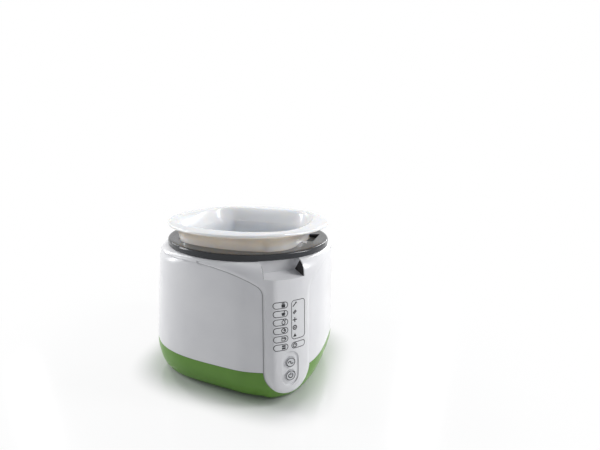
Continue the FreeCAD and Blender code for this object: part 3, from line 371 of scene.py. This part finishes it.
def sweep_point(station, inset):
    """Point (x, z) of the outline at a station, drawn in by inset."""
    kind, at = station
    half = TONGUE_HALF - inset
    if kind == "foot":
        return half * math.cos(at), TONGUE_MIDDLE + half * math.sin(at)
    if kind == "side":
        return half, TONGUE_MIDDLE + (SMALL_Z - TONGUE_MIDDLE) * at
    if kind == "small":
        radius = SMALL_R + inset
        return SMALL_X - radius * math.cos(at), SMALL_Z + radius * math.sin(at)
    radius = LARGE_R + inset
    return LARGE_X - radius * math.cos(at), LARGE_Z + radius * math.sin(at)


def roll_width(station):
    """Width of the rolled edge, narrower where the S runs out under the crown."""
    kind, at = station
    if kind != "large":
        return ROLL_WIDE
    return min(ROLL_WIDE, ROLL_TAPER * (ROLL_TOP - LARGE_Z - LARGE_R * math.sin(at)))


def roll_depth(share, wide):
    """How far the cut lies under the old face: a quarter of an ellipse, then clear of the face."""
    if share > 1:
        return -CUT_CLEAR
    return ROLL_DEEP * min(1.0, wide / ROLL_FULL) * (1 - math.sqrt(1 - (1 - share) ** 2))


def roll_cutter(cover):
    """Closed strip along the outline that holds all that the round edge leaves off."""
    tree = faces_of(cover)
    steps = range(ROLL_STEPS + 1)
    shares = [ROLL_FIRST + (1 - ROLL_FIRST) * i / ROLL_STEPS for i in steps] + [ROLL_LAST]
    half = sweep_stations()
    whole = [(-1, s) for s in reversed(half[1:])] + [(1, s) for s in half]
    rows = []
    for side, station in whole:
        wide = roll_width(station)
        low, top = [], []
        for share in shares:
            x, z = sweep_point(station, share * wide)
            hit, normal = face_at(tree, side * x, z, CUT_FROM)
            low.append(hit - normal * roll_depth(share, wide) * MM)
            top.append(hit + normal * CUT_OVER * MM)
        x, z = sweep_point(station, -CUT_PAST)
        out = Vector((side * x * MM, 0, z * MM)) - Vector((low[0].x, 0, low[0].z))
        low.insert(0, low[0] + out)
        top.insert(0, top[0] + out)
        rows.append(low + top[::-1])
    bm = bmesh.new()
    rings = [[bm.verts.new(v) for v in row] for row in rows]
    count = len(rings[0])
    for a, b in zip(rings, rings[1:]):
        for i in range(count):
            j = (i + 1) % count
            bm.faces.new((a[i], a[j], b[j], b[i]))
    bm.faces.new(rings[0][::-1])
    bm.faces.new(rings[-1])
    bmesh.ops.recalc_face_normals(bm, faces=bm.faces)
    data = bpy.data.meshes.new("roll_cutter")
    bm.to_mesh(data)
    bm.free()
    return data


def rolled_cover():
    """The cover with its edge cut round, in place of the solid's."""
    cover = nodes["top_cover"].data
    tool = placed("roll_cutter", roll_cutter(cover))
    obj = placed("cover_skin", merged_copy(cover, "cover_solid", COPY_GAP))
    cut = obj.modifiers.new("roll", "BOOLEAN")
    cut.operation, cut.solver, cut.object = "DIFFERENCE", "EXACT", tool
    bpy.context.view_layer.update()
    result = obj.evaluated_get(bpy.context.evaluated_depsgraph_get())
    shaped = merged_copy(bpy.data.meshes.new_from_object(result), "cover_skin", CARVED_GAP)
    obj.modifiers.clear()
    obj.data = shaped
    bpy.data.objects.remove(tool)
    dress(shaped, cover, COVER_SHARP, white)
    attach(obj, "housing")
    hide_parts("top_cover")


rolled_cover()


# Lip of the bowl, in millimetres: the funnel of the solid becomes a steep hollow and a broad lip
# that droops outward

NECK_HALF, NECK_POWER, NECK_Z = 79.9, 4.0, 188.0
LIP_RADIUS, LIP_RISE, LIP_DROOP, CREST_POWER = 110.0, 24.0, 3.0, 4.5
EDGE_GAP, EDGE_BAND = 0.05, 1.0  # points and normals this near to the round edge keep their form
LOOKS_UP, SAME_SIDE = 0.3, 0.8  # what counts as an upper face, and as the same face
SLOPE_STEP, SLOPE_SHIFT = 0.05, 0.1  # the slope is taken a little further out, off the neck's line
BOWL_SHARP = 50


def lip_share(x, y):
    """Share of the way from the neck's rounded square (0) to the round edge (1)."""
    turn = math.atan2(y, x) - math.radians(45)
    across, along = abs(math.cos(turn)), abs(math.sin(turn))
    neck = NECK_HALF / (across ** NECK_POWER + along ** NECK_POWER) ** (1 / NECK_POWER)
    return min(1.0, max(0.0, (math.hypot(x, y) - neck) / (LIP_RADIUS - neck)))


def lip_height(x, y):
    """Height of the lip's upper face."""
    share = lip_share(x, y)
    return NECK_Z + LIP_RISE * (1 - (1 - share) ** CREST_POWER) - LIP_DROOP * share ** 2


def lip_normal(spot, own):
    """Normal of the lip's upper face, from its slope; other faces keep their own."""
    x, y = (spot / MM).xy
    radius, step = math.hypot(x, y), SLOPE_STEP
    x, y = x * (1 + SLOPE_SHIFT / radius), y * (1 + SLOPE_SHIFT / radius)
    slope_x = (lip_height(x + step, y) - lip_height(x - step, y)) / (2 * step)
    slope_y = (lip_height(x, y + step) - lip_height(x, y - step)) / (2 * step)
    normal = Vector((-slope_x, -slope_y, 1)).normalized()
    upper = radius < LIP_RADIUS - EDGE_BAND and normal.dot(own) > SAME_SIDE
    return normal if upper else own


def lipped_bowl():
    """The bowl with its broad lip, in place of the solid's."""
    bowl = nodes["milk_bowl"].data
    shaped = merged_copy(bowl, "bowl_skin", COPY_GAP)
    facings = [vert.normal.copy() for vert in shaped.vertices]
    for vert, facing in zip(shaped.vertices, facings):
        x, y, z = vert.co / MM
        if z <= NECK_Z:
            continue
        out = Vector((x, y, 0)).normalized()
        upper = facing.z > LOOKS_UP or facing.dot(out) < 0
        if upper and math.hypot(x, y) < LIP_RADIUS - EDGE_GAP:
            vert.co.z = lip_height(x, y) * MM
        else:
            vert.co.z = (z - LIP_DROOP * lip_share(x, y) ** 2) * MM
    dress(shaped, bowl, BOWL_SHARP, bowl_white, lip_normal)
    obj = placed("bowl_skin", shaped)
    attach(obj, "bowl")
    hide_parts("milk_bowl")


lipped_bowl()


# Printed marks, and a painted shadow along the cover's seam: flat strokes laid on the faces of the
# solids, in millimetres

INK_LIFT, PROBE = 0.08, 0.35  # distance from the face, and reach past a gap
INK_FROM = -0.25  # in front of the housing, in metres
CORNER_STEPS, SPACING, SAME_POINT = 6, 2.5, 1e-4


def on_face(tree, x, z):
    """Point just in front of the face at x, z; looks past the thin gap round a pane."""
    probes = ((0, 0), (PROBE, 0), (-PROBE, 0), (0, PROBE), (0, -PROBE))
    hits = [face_at(tree, x + dx, z + dz, INK_FROM)[0] for dx, dz in probes]
    front = min(hit.y for hit in hits if hit is not None)
    return Vector((x * MM, front - INK_LIFT * MM, z * MM))


def stroke(mesh, tree, points, width, closed=False):
    """A flat ribbon of even width along points (x, z)."""
    verts, faces = mesh
    count = len(points)
    start = len(verts)
    for i, (x, z) in enumerate(points):
        a = points[i - 1] if (closed or i > 0) else points[i]
        b = points[(i + 1) % count] if (closed or i < count - 1) else points[i]
        dx, dz = b[0] - a[0], b[1] - a[1]
        size = math.hypot(dx, dz)
        nx, nz = -dz / size * width / 2, dx / size * width / 2
        verts.append(on_face(tree, x + nx, z + nz))
        verts.append(on_face(tree, x - nx, z - nz))
    for i in range(count if closed else count - 1):
        a, b = start + 2 * i, start + 2 * ((i + 1) % count)
        faces.append((a, a + 1, b + 1, b))


def patch(mesh, tree, points):
    """A filled outline (x, z), fanned from its middle."""
    verts, faces = mesh
    start, count = len(verts), len(points)
    cx = sum(p[0] for p in points) / count
    cz = sum(p[1] for p in points) / count
    for x, z in [(cx, cz)] + points:
        verts.append(on_face(tree, x, z))
    for i in range(count):
        faces.append((start, start + 1 + i, start + 1 + (i + 1) % count))


def arc(cx, cz, r, a0, a1, steps):
    """Points of an arc from a0 to a1 degrees."""
    turns = [math.radians(a0 + (a1 - a0) * i / steps) for i in range(steps + 1)]
    return [(cx + r * math.cos(t), cz + r * math.sin(t)) for t in turns]


def circle(r, cx=0.0, cz=0.0, steps=16):
    return arc(cx, cz, r, 0, 360, steps)[:-1]


def rounded(x0, z0, x1, z1, r):
    """Closed outline of a rectangle with round corners, with points on its straight runs too."""
    out = []
    corners = ((x1 - r, z1 - r), (x0 + r, z1 - r), (x0 + r, z0 + r), (x1 - r, z0 + r))
    for i, (cx, cz) in enumerate(corners):
        out += arc(cx, cz, r, 90 * i, 90 * i + 90, CORNER_STEPS)
    clean = []
    for p in out:
        if not clean or math.dist(p, clean[-1]) > SAME_POINT:
            clean.append(p)
    if math.dist(clean[0], clean[-1]) < SAME_POINT:
        clean.pop()
    dense = []
    for (px, pz), (qx, qz) in zip(clean, clean[1:] + clean[:1]):
        parts = max(1, int(math.dist((px, pz), (qx, qz)) / SPACING))
        for k in range(parts):
            dense.append((px + (qx - px) * k / parts, pz + (qz - pz) * k / parts))
    return dense


def mark(mesh, tree, shape, at, size, width):
    """Draw a sign's open, closed or filled strokes, given in a unit square, round the point at."""
    for kind, points in shape:
        line = [(at[0] + x * size, at[1] + z * size) for x, z in points]
        if kind == "fill":
            patch(mesh, tree, line)
        else:
            stroke(mesh, tree, line, width, kind == "loop")


def piece(name, mesh, material, body):
    """One object of the strokes drawn so far, on a body of the part."""
    data = bpy.data.meshes.new(name)
    data.from_pydata([tuple(v) for v in mesh[0]], [], mesh[1])
    data.materials.append(material)
    obj = placed(name, data)
    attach(obj, body)


# Signs in a unit square: x to the right, z up

JAR = [("fill", [(-0.34, -0.5), (0.34, -0.5), (0.42, -0.3), (0.42, 0.12), (0.26, 0.26),
                 (-0.26, 0.26), (-0.42, 0.12), (-0.42, -0.3)]),
       ("line", [(-0.34, 0.44), (0.34, 0.44)])]
CUP = [("fill", [(-0.3, -0.45), (0.3, -0.45), (0.44, 0.2), (-0.44, 0.2)]),
       ("line", [(0.1, 0.22), (0.3, 0.55)])]
DROP = [("loop", arc(0, -0.12, 0.36, 150, 390, 12) + [(0, 0.52)]),
        ("line", [(0.3, 0.3), (0.52, 0.5)])]
WHEEL = [("loop", circle(0.45)),
         ("line", [(0, 0), (0.32, 0.3)]), ("line", [(0, 0), (0.42, -0.1)])]
MUG = [("loop", [(-0.42, 0.36), (0.3, 0.36), (0.3, -0.4), (-0.42, -0.4)]),
       ("line", arc(0.3, 0.0, 0.22, -80, 80, 6)), ("line", [(-0.42, 0.1), (0.3, 0.1)])]
BLOCK = [("fill", [(-0.42, -0.45), (0.42, -0.45), (0.42, -0.06), (-0.42, -0.06)]),
         ("fill", [(-0.42, 0.06), (0.42, 0.06), (0.42, 0.45), (-0.42, 0.45)])]
SPOON = [("line", [(-0.45, -0.45), (0.2, 0.2)]), ("fill", circle(0.2, 0.3, 0.3, 10))]
WHISK = [("line", [(-0.4, -0.2), (0.2, 0.4)]), ("line", [(-0.2, -0.4), (0.4, 0.2)])]
SPARK = [("line", [(-0.5, 0), (0.5, 0)]), ("line", [(0, -0.5), (0, 0.5)])]
SPOT = [("loop", circle(0.42)), ("fill", circle(0.18, steps=8))]
PEAK = [("fill", [(-0.4, -0.35), (0.4, -0.35), (0, 0.4)])]
CLOCK = [("loop", circle(0.5)), ("line", [(0, 0.32), (0, 0), (0.24, 0)])]
CYCLE = [("line", arc(-0.24, 0, 0.26, 200, 20, 8)), ("line", arc(0.24, 0, 0.26, 160, 340, 8))]
POWER = [("line", arc(0, 0, 0.45, 125, 415, 16)), ("line", [(0, 0.08), (0, 0.62)])]

# Panel layout: x to the right, z up; a sign's size goes with the width of its lines

PROGRAMS, MODES = (JAR, CUP, DROP, WHEEL, MUG, BLOCK), (SPOON, WHISK, SPARK, SPOT, PEAK)
PILL_LEFT, PILL_RIGHT, PILL_HALF, PILL_TOP, PILL_STEP = -21.4, -3.4, 3.7, 129.5, 10.25
PILL_LOW = PILL_TOP - (len(PROGRAMS) - 1) * PILL_STEP
PILL_ROUND = PILL_HALF - 0.05
MODE_LEFT, MODE_LOW, MODE_RIGHT, MODE_TOP, MODE_ROUND = 1.6, 86.0, 20.6, 133.2, 4.0
PROGRAM_X, MODE_X = -8.9, 6.0
PROGRAM_SIGN, MODE_SIGN, TIMER_SIGN, KEY_SIGN = (5.6, 1.05), (5.8, 1.25), (5.0, 1.05), (6.2, 1.2)
OUTLINE_WIDE, SEAM_WIDE = 0.75, 0.8
KEYS = (("select", 57.8, 6.0, CYCLE), ("power", 41.0, 6.5, POWER))  # height, radius and sign
RING_INSET, RING_WIDE, RING_STEPS = 0.6, 0.9, 40

panel_faces = node_faces("top_cover", "program_windows", "mode_window", "timer_window")
outlines, icons = ([], []), ([], [])


def pane_outline(left, low, right, top, r):
    stroke(outlines, panel_faces, rounded(left, low, right, top, r), OUTLINE_WIDE, True)


for i, shape in enumerate(PROGRAMS):
    z = PILL_TOP - i * PILL_STEP
    pane_outline(PILL_LEFT, z - PILL_HALF, PILL_RIGHT, z + PILL_HALF, PILL_ROUND)
    mark(icons, panel_faces, shape, (PROGRAM_X, z), *PROGRAM_SIGN)
pane_outline(MODE_LEFT, MODE_LOW, MODE_RIGHT, MODE_TOP, MODE_ROUND)
pane_outline(MODE_LEFT, PILL_LOW - PILL_HALF, MODE_RIGHT, PILL_LOW + PILL_HALF, PILL_ROUND)
for i, shape in enumerate(MODES):
    z = MODE_TOP - (i + 0.5) * (MODE_TOP - MODE_LOW) / len(MODES)
    mark(icons, panel_faces, shape, (MODE_X, z), *MODE_SIGN)
mark(icons, panel_faces, CLOCK, (MODE_X, PILL_LOW), *TIMER_SIGN)
piece("panel_outlines", outlines, ink, "housing")
piece("panel_icons", icons, ink, "housing")

# painted shadow: a grey strip on the shell just outside the cover's edge, where shade falls under
# its step
seam, lap_faces = ([], []), node_faces("side_shell", "base_pan")
right_half = [sweep_point(s, -SEAM_WIDE / 2) for s in sweep_stations()]
left_half = [(-x, z) for x, z in reversed(right_half[1:])]
stroke(seam, lap_faces, left_half + right_half, SEAM_WIDE)
piece("cover_seam_shadow", seam, seam_shadow_paint, "housing")

for name, z, radius, shape in KEYS:
    face, drawn = node_faces(name + "_button"), ([], [])
    stroke(drawn, face, circle(radius - RING_INSET, 0, z, RING_STEPS), RING_WIDE, True)
    mark(drawn, face, shape, (0, z), *KEY_SIGN)
    piece(name + "_mark", drawn, ink, name + "_key")


# Studio: floor, light, camera, in metres

FLOOR_HALF, FLOOR_COLOUR, FLOOR_ROUGH, FLOOR_IOR = 6, (0.74, 0.74, 0.745, 1), 0.16, 1.8
FLOOR_GRAIN, FLOOR_BUMP, FLOOR_DEPTH = 40.0, 0.01, 0.001
BASE_POWER = 3.7  # roundness of the base's rounded square
WHITE = (1, 1, 1, 1)
FLOOR_FADES = ((0.110, 0.155, 0.88), (0.2, 0.45, 0.12))  # start, end and share of white
SKY_COLOUR, SKY_LIGHT = (0.92, 0.95, 1.0, 1), 0.26
LAMPS = (  # place, the point it faces, width and height, watts
    ("key", (0.92, -0.54, 0.75), (0.05, -0.02, 0.1), (0.2, 0.9), 9.8),
    ("sheen", (0.935, 0.485, 0.58), (0.066, -0.076, 0.184), (0.12, 0.6), 3.0),
    ("glint", (-0.436, 0.78, 0.79), (-0.106, -0.045, 0.184), (0.1, 0.75), 2.8),
    ("top", (0.35, 0.45, 1.15), (0, 0, 0.15), (0.9, 0.6), 2.6),
    ("edge", (-1.0, 0.58, 0.55), (-0.1, 0, 0.13), (0.2, 0.8), 7.4),
)
FRAME_WIDE, FRAME_HIGH, SENSOR = 600.0, 450.0, 36.0


def background_ray(tree):
    """1 for the rays that show the plain background: straight, by gloss or through glass."""
    path = tree.nodes.new("ShaderNodeLightPath")
    seen = path.outputs["Is Camera Ray"]
    for ray in ("Is Glossy Ray", "Is Transmission Ray"):
        both = tree.nodes.new("ShaderNodeMath")
        both.operation = "MAXIMUM"
        tree.links.new(seen, both.inputs[0])
        tree.links.new(path.outputs[ray], both.inputs[1])
        seen = both.outputs[0]
    return seen


def show_mix(tree, fac, first, second, output):
    """Send a mix of two nodes to the output, the second one where fac is 1."""
    mix = tree.nodes.new("ShaderNodeMixShader")
    for source, socket in zip((fac, first.outputs[0], second.outputs[0]), mix.inputs):
        tree.links.new(source, socket)
    tree.links.new(mix.outputs[0], tree.nodes[output].inputs["Surface"])


def square_reach(s):
    """Distance from the middle, in rounded squares that stand on a corner as the base does."""
    turn = s.node("ShaderNodeMapping", Rotation=(0, 0, math.radians(45)))
    s.link(s.place(), turn.inputs["Vector"])
    axes = s.node("ShaderNodeSeparateXYZ")
    s.link(turn.outputs["Vector"], axes.inputs[0])
    powers = [s.calc("POWER", s.calc("ABSOLUTE", axes.outputs[axis]), BASE_POWER) for axis in "XY"]
    return s.calc("POWER", s.calc("ADD", *powers), 1 / BASE_POWER)


def studio_floor():
    """Pale floor that keeps the shadow near the object and turns plain white further out."""
    half = FLOOR_HALF
    data = bpy.data.meshes.new("studio_floor")
    corners = [(-half, -half, 0), (half, -half, 0), (half, half, 0), (-half, half, 0)]
    data.from_pydata(corners, [], [(0, 1, 2, 3)])
    obj = placed("studio_floor", data)
    s = Shader("studio_floor")
    s.set(Base_Color=FLOOR_COLOUR, Roughness=FLOOR_ROUGH, IOR=FLOOR_IOR)
    s.bump(s.noise(FLOOR_GRAIN), FLOOR_BUMP, FLOOR_DEPTH)
    reach = square_reach(s)
    fades = [s.ranged(reach, interpolation_type="SMOOTHSTEP",
                      From_Min=low, From_Max=high, To_Max=gain) for low, high, gain in FLOOR_FADES]
    fac = s.calc("MULTIPLY", background_ray(s.tree), s.calc("ADD", *fades))
    show_mix(s.tree, fac, s.surface, s.node("ShaderNodeEmission", Color=WHITE), "Material Output")
    data.materials.append(s.mat)


def studio_world():
    """Soft light from all round, in front of a plain white background."""
    world = bpy.data.worlds.new("studio")
    scene.world = world
    world.use_nodes = True
    tree = world.node_tree
    light, plain = tree.nodes["Background"], tree.nodes.new("ShaderNodeBackground")
    for back, colour, strength in ((light, SKY_COLOUR, SKY_LIGHT), (plain, WHITE, 1.0)):
        back.inputs["Color"].default_value = colour
        back.inputs["Strength"].default_value = strength
    show_mix(tree, background_ray(tree), light, plain, "World Output")


def soft_box(name, at, toward, size, power):
    """A white lamp with a rectangular face."""
    data = bpy.data.lights.new(name, "AREA")
    data.shape = "RECTANGLE"
    data.size, data.size_y = size
    data.energy = power
    obj = placed(name, data)
    obj.location = at
    obj.rotation_euler = (Vector(toward) - Vector(at)).to_track_quat("-Z", "Y").to_euler()


def photo_camera(focal, pitch, roll, azimuth, yaw, distance, height, cx, cy):
    """Camera from image measures: lengths in millimetres, focal length and centre in pixels."""
    a = math.radians(azimuth)
    place = Vector((math.sin(a), -math.cos(a), 0)) * distance * MM + Vector((0, 0, height * MM))
    w, p, r = a + math.radians(yaw), math.radians(pitch), math.radians(roll)
    right = Vector((math.cos(w), math.sin(w), 0))
    ahead = Vector((-math.sin(w), math.cos(w), 0)) * math.cos(p) - Vector((0, 0, math.sin(p)))
    up = right.cross(ahead)
    right, up = right * math.cos(r) + up * math.sin(r), up * math.cos(r) - right * math.sin(r)
    data = bpy.data.cameras.new("photo_camera")
    data.sensor_width = SENSOR
    data.sensor_fit = "HORIZONTAL"
    data.lens = SENSOR * focal / FRAME_WIDE
    data.shift_x = (FRAME_WIDE / 2 - cx) / FRAME_WIDE
    data.shift_y = (cy - FRAME_HIGH / 2) / FRAME_WIDE
    data.clip_start = 0.01
    cam = placed("photo_camera", data)
    turn = Matrix((right, up, -ahead)).transposed().to_4x4()
    cam.matrix_world = Matrix.Translation(place) @ turn
    scene.camera = cam


studio_floor()
studio_world()
for lamp in LAMPS:
    soft_box(*lamp)
photo_camera(focal=371.26, pitch=11.69, roll=-0.47, azimuth=-22.49, yaw=2.63,
             distance=526.52, height=306.32, cx=230.56, cy=225.81)
scene.view_settings.view_transform = "Standard"
